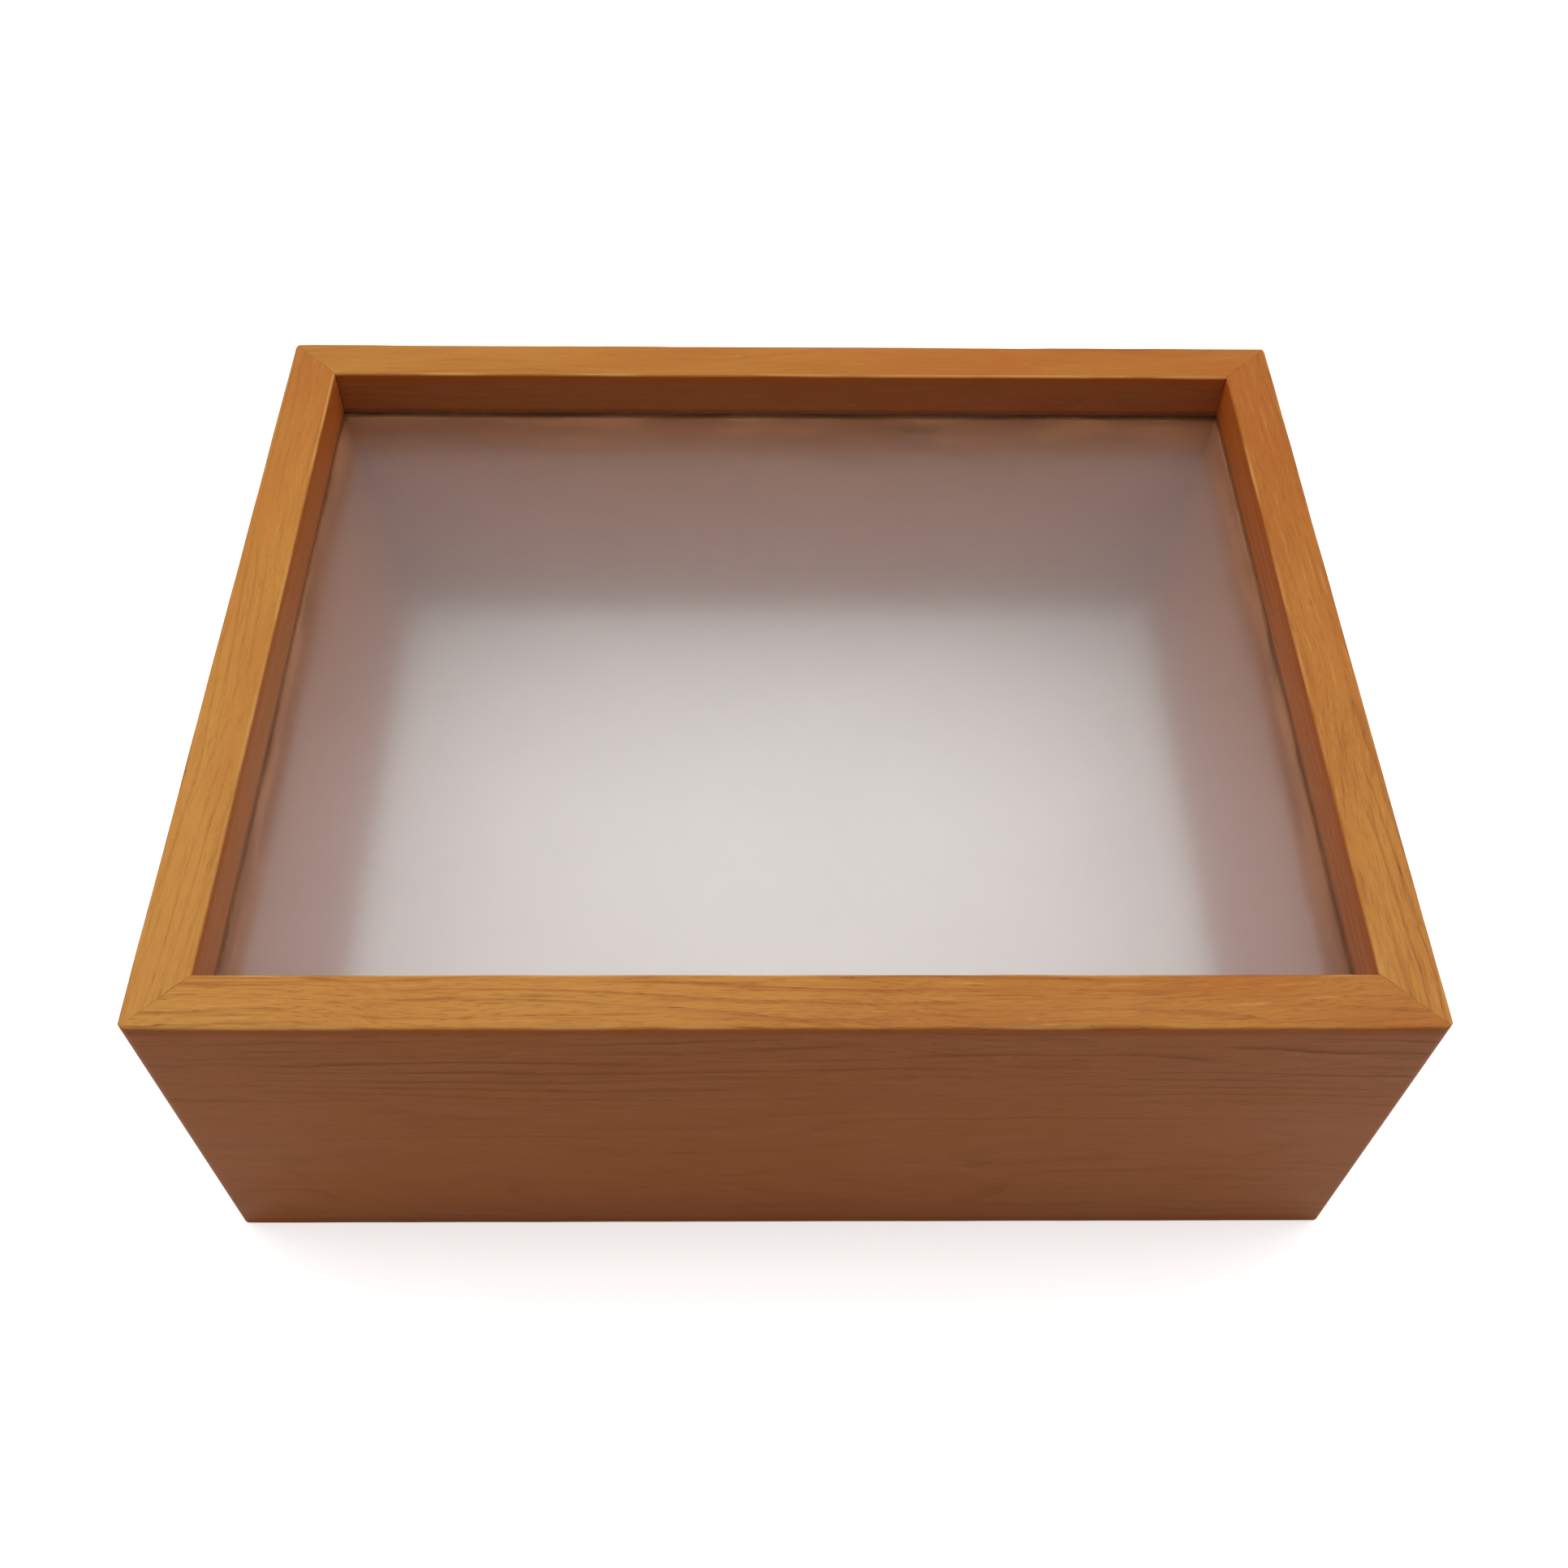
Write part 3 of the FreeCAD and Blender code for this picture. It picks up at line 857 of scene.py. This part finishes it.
@dataclass(frozen=True)
class MitredBoards:
    """The rule of all eight boards: a section swept along a side and cut at 45 degrees."""

    middle_rows: int = 76
    end_rows: int = 5
    ease_points: int = 7
    least_ease: float = 0.05
    mitre_gap: float = 0.012
    wear_rate: float = 0.035

    def recipe(self) -> Recipe:
        """Builds the Geometry Nodes tree.

        Returns:
            A recipe whose inputs are one board's sizes.
        """
        rule = Recipe("mitred_board")
        length, reach, turn = (rule.given(name) for name in ("Length", "Reach", "Turn"))
        low, step, high = (rule.given(name) for name in ("Low", "Step", "High"))
        wall, thickness, front_thickness = (rule.given(name) for name in ("Wall", "Thickness", "Front Thickness"))
        outer_back, inner_back = (rule.given(name) for name in ("Outer Back Ease", "Inner Back Ease"))
        front, lip = (rule.given(name) for name in ("Front Ease", "Lip Ease"))
        corner_ease, wear, shift = (rule.given(name) for name in ("Corner Ease", "Wear", "Shift"))

        corners = [(0.0, low), (wall, low), (wall, step), (thickness, step), (front_thickness, high), (0.0, high)]
        radii = [outer_back, inner_back, self.least_ease, lip, front, front]
        section = rule.outline([rule.join(inward, up, 0.0) for inward, up in corners], closed=True)
        section = rule.keep(section, "rule_corner", "FLOAT_VECTOR", rule.position)
        radius = rule.pick("FLOAT", radii).most(self.least_ease)
        section = rule.out(
            "GeometryNodeFilletCurve",
            {"mode": "POLY"},
            {"Curve": section, "Count": self.ease_points, "Radius": radius, "Limit Radius": True},
        )
        section = rule.keep(section, "rule_section", "FLOAT_VECTOR", rule.position)

        flat = corner_ease * (1 - math.sqrt(0.5))
        half = length * 0.5 - flat
        arc = corner_ease * math.sqrt(0.5)
        first = rule.index.least(self.end_rows) / self.end_rows
        middle = ((rule.index - self.end_rows) / self.middle_rows).most(0.0).least(1.0)
        last = (rule.index - (self.end_rows + self.middle_rows)).most(0.0) / self.end_rows
        run = (half - arc) * 2 * middle + arc * (first + last) - half
        path = rule.keep(rule.ladder(self.middle_rows + 2 * self.end_rows + 1), "rule_run", "FLOAT", run)
        board = rule.sweep(path, section)

        run = rule.kept("rule_run", "FLOAT")
        inward, up, _ = rule.split(rule.kept("rule_section", "FLOAT_VECTOR"))
        corner_inward, corner_up, _ = rule.split(rule.kept("rule_corner", "FLOAT_VECTOR"))
        along_edge = rule.join(run * self.wear_rate + shift, corner_inward, corner_up)
        knocks = (rule.noise(along_edge, (1, 1, 1), 0.0, 3.0) - 0.5) * wear
        inward = inward + (corner_inward - inward) * knocks
        up = up + (corner_up - up) * knocks
        along = run * (length * 0.5 - inward.most(flat) - self.mitre_gap) / half
        past = (abs(along) - (length * 0.5 - corner_ease)).most(0.0)
        inward = inward.most(corner_ease - (corner_ease**2 - past**2).root())
        spot = rule.out(
            "ShaderNodeVectorRotate",
            {"rotation_type": "Z_AXIS"},
            {"Vector": rule.join(along, inward - reach, up), "Angle": turn},
        )
        rule.give(rule.place(board, spot))
        return rule


@dataclass
class Boards:
    """Four boards round the frame, each mitred at both ends."""

    recipe: Recipe
    word: str
    slot: str
    width: float
    height: float
    section: BoardSection
    corner_ease: float
    wear: float

    def span(self, side: Side) -> Span:
        """A board's length and how far its outer face lies from the middle."""
        if side in (Side.FRONT, Side.REAR):
            return self.width, self.height / 2
        return self.height, self.width / 2

    def finish(self, side: Side) -> StainedWood:
        """The finish of one board. Each set gives its own."""
        raise NotImplementedError

    def board(self, side: Side) -> bpy.types.Object:
        """Runs the board rule for one side."""
        length, reach = self.span(side)
        section = self.section
        sizes = {
            "Length": length,
            "Reach": reach,
            "Turn": side.turn,
            "Low": section.low,
            "Step": section.step,
            "High": section.high,
            "Wall": section.wall,
            "Thickness": section.thickness,
            "Front Thickness": section.front_thickness,
            "Outer Back Ease": section.outer_back_ease,
            "Inner Back Ease": section.inner_back_ease,
            "Front Ease": section.front_ease,
            "Lip Ease": section.lip_ease,
            "Corner Ease": self.corner_ease,
            "Wear": self.wear,
            "Shift": 10.0 * side.value,
        }
        return self.recipe.piece(f"{side.word}_{self.word}", sizes, self.finish(side).material())

    def build(self) -> None:
        """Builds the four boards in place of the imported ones."""
        for side in Side:
            stand_for(self.board(side), f"{side.word}_{self.word.split('_')[0]}", "frame")


@dataclass
class Rails(Boards):
    """The outer boards, with a lip in front and the corner nails' slots behind."""

    word: str = "rail_board"
    slot: str = "rail_wood"
    width: float = 304.8
    height: float = 241.3
    section: BoardSection = BoardSection(0.0, 98.8, 114.3, 7.9, 14.3, 14.3, 0.5, 0.5, 0.8, 0.5)
    corner_ease: float = 2.5
    wear: float = 1.6
    slot_mouth: float = 0.3

    def tone(self, side: Side) -> WoodTone:
        """The stain on one side: it took redder towards the right and on the right board. The front board's faces are
        painted lighter towards the right, and the rear board's colours are darker, as painted shade.
        """
        share, blush, side_blush, sides = {
            Side.FRONT: (0.42, 0.0026, 0.0020, (0.50, 0.142, 0.031)),
            Side.RIGHT: (0.75, 0.0050, 0.0, (0.53, 0.136, 0.030)),
            # the rear board's darker face colour is painted shade
            Side.REAR: (0.60, -0.0026, 0.0, (0.37, 0.088, 0.022)),
            Side.LEFT: (0.30, -0.0034, 0.0, (0.50, 0.148, 0.034)),
        }[side]
        golden = (0.53, 0.235, 0.042)
        # painted shade: the rear board's top is darker, where less light reaches the rear
        if side is Side.REAR:
            golden = (0.47, 0.208, 0.038)
        return WoodTone(
            golden=golden,
            amber=(0.41, 0.125, 0.018),
            pale=(0.66, 0.34, 0.10),
            line=(0.27, 0.085, 0.016),
            pore=(0.15, 0.045, 0.012),
            side=sides,
            amber_share=share,
            blush=blush,
            side_blush=side_blush,
        )

    def finish(self, side: Side) -> StainedWood:
        """The finish of one board, with its own place in the log."""
        length, reach = self.span(side)
        saw = {
            Side.FRONT: SawnBoard(92, 30, 2.6, 3.0),
            Side.RIGHT: SawnBoard(70, 60, 2.3, 57.0),
            Side.REAR: SawnBoard(-60, 20, 2.5, 113.0),
            Side.LEFT: SawnBoard(80, 40, 2.4, 171.0),
        }
        place = BoardPlace(side, reach, length)
        figure = {Side.FRONT: 1.35, Side.RIGHT: 1.15, Side.REAR: 0.55, Side.LEFT: 0.65}[side]
        # painted shade on the left and right boards' faces towards the rear
        deepen = {Side.FRONT: 0.0, Side.RIGHT: 0.010, Side.REAR: 0.0, Side.LEFT: -0.010}[side]
        return StainedWood(
            name=f"stained_{side.word}_rail",
            place=place,
            tone=self.tone(side),
            board=saw[side],
            front=self.section.high,
            thickness=self.section.front_thickness,
            figure=figure,
            deepen=deepen,
            lip=self.section.high - self.section.step,
        )

    def nail_slots(self) -> bpy.types.Object:
        """The corner nails' shape, brought down past the boards' back edges."""
        mesh = bmesh.new()
        mesh.from_mesh(frame["nodes"]["corner_v_nails"].data)
        bmesh.ops.remove_doubles(mesh, verts=mesh.verts, dist=MM / 1000)
        for corner in mesh.verts:
            if corner.co.z < MM:
                corner.co.z = -self.slot_mouth * MM
        return new_piece("nail_slots", mesh)

    def board(self, side: Side) -> bpy.types.Object:
        """One rail, cut for its corner nails."""
        board = super().board(side)
        slots = self.nail_slots()
        cut = board.modifiers.new("nail_slots", "BOOLEAN")
        cut.object = slots
        cut.solver = "EXACT"
        seen = board.evaluated_get(bpy.context.evaluated_depsgraph_get())
        board.data = bpy.data.meshes.new_from_object(seen)
        board.modifiers.clear()
        bpy.data.objects.remove(slots)
        return board


@dataclass
class Liners(Boards):
    """The inner boards, which carry the pane and take the back in their rabbets."""

    word: str = "liner_board"
    slot: str = "liner_wood"
    width: float = 289.0
    height: float = 225.5
    section: BoardSection = BoardSection(9.8, 16.8, 95.9, 9.1, 15.1, 6.4, 0.1, 0.4, 0.4, 0.1)
    corner_ease: float = 0.1
    wear: float = 0.8

    def finish(self, side: Side) -> StainedWood:
        """The finish of one liner."""
        length, reach = self.span(side)
        tone = WoodTone(
            golden=(0.45, 0.20, 0.09),
            amber=(0.39, 0.15, 0.055),
            pale=(0.68, 0.33, 0.16),
            line=(0.20, 0.075, 0.028),
            pore=(0.10, 0.036, 0.014),
            side=(0.44, 0.205, 0.105) if side is Side.REAR else (0.43, 0.18, 0.078),
            # the lavender of the painted glow low on the walls
            rosy=(0.44, 0.31, 0.26),
        )
        board = SawnBoard(100, 50, 3.0, 300.0 + 40 * side.value)
        place = BoardPlace(side, reach, length)
        name = f"stained_{side.word}_liner"
        return StainedWood(
            name=name,
            place=place,
            tone=tone,
            board=board,
            front=self.section.high,
            thickness=self.section.front_thickness,
            coat=0.0,
            burn=0.0,
            # a wide painted glow on the liners just below the pane
            edge_width=16.0,
            # painted glow low on the liners' walls, strongest on the rear wall
            dust=0.6 if side is Side.REAR else 0.2,
        )


@dataclass
class Glazing:
    """The pane and the two boards behind the display space."""

    pane_ease: float = 0.3
    paper_ease: float = 0.15
    panel_ease: float = 0.6
    seat_gap: float = 0.05

    def build(self) -> None:
        """Builds the pane, the mount board and the back panel."""
        low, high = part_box("glazing_pane")
        low.z += self.seat_gap * MM
        pane = eased_plate("etched_pane", low, high, self.pane_ease)
        dress(pane, EtchedGlass("etched_glass").material())
        stand_for(pane, "glazing_pane", "frame")

        board = eased_plate("white_mount", *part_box("mount_board"), self.paper_ease)
        dress(board, PaperFace("white_paper").material())
        stand_for(board, "mount_board", "back")

        panel = eased_plate("fibre_panel", *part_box("back_panel"), self.panel_ease, 3)
        dress(panel, PressedFibre("pressed_fibre").material())
        stand_for(panel, "back_panel", "back")


@dataclass(frozen=True)
class Fasteners:
    """The rule of screws and nails: a profile turned round an axis, repeated at places."""

    rows: int = 150
    facets: int = 24
    dome_points: int = 6
    turned_ease: float = 0.12
    cross_taper: float = 0.4

    def recipe(self) -> Recipe:
        """Builds the Geometry Nodes tree.

        Returns:
            A recipe for fasteners that point along +Z, their heads' undersides
            at the given places.
        """
        rule = Recipe("headed_fastener")
        length, tip, plain = (rule.given(name) for name in ("Length", "Tip Length", "Plain Length"))
        shank, head = (rule.given(name) for name in ("Shank Radius", "Head Radius"))
        height, rim = (rule.given(name) for name in ("Head Height", "Head Rim"))
        pitch, depth = (rule.given(name) for name in ("Thread Pitch", "Thread Depth"))
        cross_length, cross_width, cross_depth = (
            rule.given(name) for name in ("Cross Length", "Cross Width", "Cross Depth")
        )
        crossed = rule.given("Has Cross", "Bool")
        seed = rule.given("Seed", "Int")

        cap = height - rim
        dome = (head**2 + cap**2) / (cap * 2)
        profile = [(0.06, length), (shank, length - tip), (shank, 0.0), (head, 0.0)]
        for number in range(self.dome_points + 1):
            across = head * (1 - number / self.dome_points)
            profile.append((across.most(0.03), dome - (dome**2 - across**2).root() - height))
        line = rule.outline([rule.join(across, 0.0, up) for across, up in profile], closed=False)
        line = rule.out(
            "GeometryNodeFilletCurve",
            {"mode": "POLY"},
            {"Curve": line, "Count": 4, "Radius": self.turned_ease, "Limit Radius": True},
        )
        sample = rule.out(
            "GeometryNodeSampleCurve",
            {"mode": "FACTOR"},
            {"Curves": line, "Factor": rule.index / (self.rows - 1)},
            "Position",
        )
        path = rule.keep(rule.ladder(self.rows), "rule_turned", "FLOAT_VECTOR", sample)
        ring = rule.out("GeometryNodeCurvePrimitiveCircle", {}, {"Resolution": self.facets, "Radius": 1.0})
        ring = rule.keep(ring, "rule_round", "FLOAT_VECTOR", rule.position)
        shape = rule.sweep(path, ring)

        across, _, up = rule.split(rule.kept("rule_turned", "FLOAT_VECTOR"))
        cosine, sine, _ = rule.split(rule.kept("rule_round", "FLOAT_VECTOR"))
        turned = rule.maths("ARCTAN2", sine, cosine) / math.tau
        groove = rule.maths("PINGPONG", turned - up / pitch, 0.5) * 2
        across = across - groove * depth * ((up - plain) / pitch).most(0.0).least(1.0) * (across / shank).least(1.0)
        shape = rule.place(shape, rule.join(across * cosine, across * sine, up))
        shape = rule.out("GeometryNodeFlipFaces", {}, {"Mesh": shape})

        arms = []
        for sizes in ((cross_length, cross_width), (cross_width, cross_length)):
            arm = rule.out("GeometryNodeMeshCube", {}, {"Size": rule.join(*sizes, cross_depth * 2)})
            x, y, z = rule.split(rule.position)
            narrow = 1 - (z / cross_depth).most(0.0) * self.cross_taper
            arms.append(rule.place(arm, rule.join(x * narrow, y * narrow, z - height)))
        recessed = rule.out(
            "GeometryNodeMeshBoolean", {"operation": "DIFFERENCE", "solver": "EXACT"}, {"Mesh 1": shape, "Mesh 2": arms}
        )
        shape = rule.out(
            "GeometryNodeSwitch", {"input_type": "GEOMETRY"}, {"Switch": crossed, "False": shape, "True": recessed}
        )
        turn = rule.out("FunctionNodeRandomValue", {}, {"Min": 0.0, "Max": math.tau, "Seed": seed}, 1)
        repeated = rule.out(
            "GeometryNodeInstanceOnPoints",
            {},
            {"Points": rule.places, "Instance": shape, "Rotation": rule.join(0.0, 0.0, turn)},
        )
        rule.give(repeated)
        return rule


@dataclass
class Hardware:
    """The steel behind the frame."""

    screw_seat: float = 8.2
    hanger_back: float = 9.8
    hanger_gauge: float = 0.9
    nail_spacing: float = 36.5
    ledge_middle: float = 12.45
    frame_height: float = 241.3
    button_ease: float = 0.22
    hanger_ease: float = 0.16

    def screws(self, recipe: Recipe, steel: bpy.types.Material) -> None:
        """One screw through each turn button."""
        pivots = [joint["pos_m"] for joint in frame["joints"] if joint["type"] == "hinge"]
        places = [(x / MM, y / MM, self.screw_seat) for x, y, _ in pivots]
        sizes = {
            "Length": 12.7,
            "Tip Length": 3.0,
            "Plain Length": 2.6,
            "Shank Radius": 1.45,
            "Head Radius": 3.0,
            "Head Height": 1.9,
            "Head Rim": 0.7,
            "Thread Pitch": 1.1,
            "Thread Depth": 0.35,
            "Cross Length": 3.4,
            "Cross Width": 0.8,
            "Cross Depth": 1.0,
            "Has Cross": True,
            "Seed": 5,
        }
        screws = recipe.piece("pan_screws", sizes, steel, places)
        smooth_round(screws)
        stand_for(screws, "turn_button_screws", "frame")

    def nails(self, recipe: Recipe, steel: bpy.types.Material) -> None:
        """Two flat headed nails that hold the hanger."""
        along = self.frame_height / 2 - self.ledge_middle
        seat = self.hanger_back - self.hanger_gauge
        places = [(-self.nail_spacing / 2, along, seat), (self.nail_spacing / 2, along, seat)]
        sizes = {
            "Length": 11.0,
            "Tip Length": 1.6,
            "Plain Length": 11.0,
            "Shank Radius": 0.75,
            "Head Radius": 1.6,
            "Head Height": 0.6,
            "Head Rim": 0.3,
            "Thread Pitch": 1.0,
            "Thread Depth": 0.0,
            "Cross Length": 1.0,
            "Cross Width": 1.0,
            "Cross Depth": 1.0,
            "Has Cross": False,
            "Seed": 9,
        }
        nails = recipe.piece("flat_nails", sizes, steel, places)
        smooth_round(nails)
        stand_for(nails, "hanger_nails", "frame")

    def build(self, nodes: dict[str, bpy.types.Object]) -> None:
        """Builds the turn buttons, screws, hanger and nails."""
        steel = PlatedSteel("zinc_plate").material()
        brass = PlatedSteel("brass_plate", (0.72, 0.58, 0.32), (0.45, 0.33, 0.16)).material()
        recipe = Fasteners().recipe()
        self.screws(recipe, steel)
        self.nails(recipe, steel)
        for name in sorted(nodes):
            if name.startswith("turn_button") and name != "turn_button_screws":
                button = eased_copy(name.replace("turn_", "pressed_"), name, self.button_ease)
                dress(button, steel)
                stand_for(button, name, name.replace("turn_", ""))
        hanger = eased_copy("toothed_hanger", "sawtooth_hanger", self.hanger_ease)
        dress(hanger, brass)
        stand_for(hanger, "sawtooth_hanger", "frame")
        dress(nodes["corner_v_nails"], steel)
        LOG.info("dressed corner_v_nails")


@dataclass
class Studio:
    """Floor, lamps, background and the camera that took the photograph's view."""

    image_width: float = 1932
    focal_length: float = 2026.15
    sensor: float = 36
    eye: Colour = (-0.006066, -0.29913, 0.44717)
    look_down: float = 53.32
    yaw: float = 1.263
    roll: float = 1.076
    floor_size: float = 6000
    key_size: Span = (2400, 900)
    key_place: Colour = (0, 270, 1150)
    key_power: float = 17.3
    ambient: float = 0.235

    def camera(self) -> bpy.types.Object:
        """The camera, at the photograph's place and angle.

        Returns:
            The camera's object, made the scene's own.
        """
        data = bpy.data.cameras.new("photo_camera")
        data.sensor_width = self.sensor
        data.lens = self.focal_length / self.image_width * self.sensor
        data.clip_start = 0.01
        data.clip_end = 50
        camera = bpy.data.objects.new("photo_camera", data)
        turn = Matrix.Rotation(math.radians(-self.yaw), 3, "Z")
        tilt = Matrix.Rotation(math.radians(90 - self.look_down), 3, "X")
        lean = Matrix.Rotation(math.radians(self.roll), 3, "Z")
        camera.matrix_world = Matrix.Translation(Vector(self.eye)) @ (turn @ tilt @ lean).to_4x4()
        bpy.context.scene.collection.objects.link(camera)
        bpy.context.scene.camera = camera
        return camera

    def floor(self) -> bpy.types.Object:
        """The floor, level with the rails' back edges."""
        half = self.floor_size / 2 * MM
        mesh = bpy.data.meshes.new("studio_floor")
        corners = [(-half, -half, 0), (half, -half, 0), (half, half, 0), (-half, half, 0)]
        mesh.from_pydata(corners, [], [(0, 1, 2, 3)])
        floor = bpy.data.objects.new("studio_floor", mesh)
        bpy.context.scene.collection.objects.link(floor)
        dress(floor, PaleFloor("studio_floor").material())
        return floor

    def lamp(self, name: str, place: Colour, size: Span, power: float) -> bpy.types.Object:
        """A rectangular soft lamp that points at the object.

        Args:
            name: The lamp's name.
            place: Its middle, in millimetres.
            size: Its width and length, in millimetres.
            power: Its power in watts.

        Returns:
            The lamp's object.
        """
        data = bpy.data.lights.new(name, "AREA")
        data.shape = "RECTANGLE"
        data.size = size[0] * MM
        data.size_y = size[1] * MM
        data.energy = power
        lamp = bpy.data.objects.new(name, data)
        lamp.location = Vector(place) * MM
        lamp.rotation_mode = "QUATERNION"
        lamp.rotation_quaternion = (-lamp.location).to_track_quat("-Z", "Y")
        bpy.context.scene.collection.objects.link(lamp)
        return lamp

    def background(self) -> None:
        """White where it is seen, a soft grey where it lights the object."""
        world = bpy.data.worlds.new("studio")
        world.use_nodes = True
        sheet = Sheet(world.node_tree)
        seen = seen_directly(sheet)
        light = sheet.out(
            "ShaderNodeBackground", {}, {"Color": (1, 1, 1), "Strength": self.ambient + (1 - self.ambient) * seen}
        )
        sheet.node("ShaderNodeOutputWorld", {}, {"Surface": light})
        bpy.context.scene.world = world

    def build(self) -> None:
        """Sets the whole studio up."""
        self.camera()
        self.floor()
        self.lamp("key_lamp", self.key_place, self.key_size, self.key_power)
        self.background()
        bpy.context.scene.view_settings.view_transform = "Standard"
        LOG.info("set up the studio")


def main() -> None:
    """Builds the studio and dresses every piece."""
    logging.basicConfig(level=logging.INFO, format="%(message)s")
    nodes = frame["nodes"]
    Studio().build()
    recipe = MitredBoards().recipe()
    Rails(recipe).build()
    Liners(recipe).build()
    Glazing().build()
    Hardware().build(nodes)


if __name__ == "__main__":
    main()
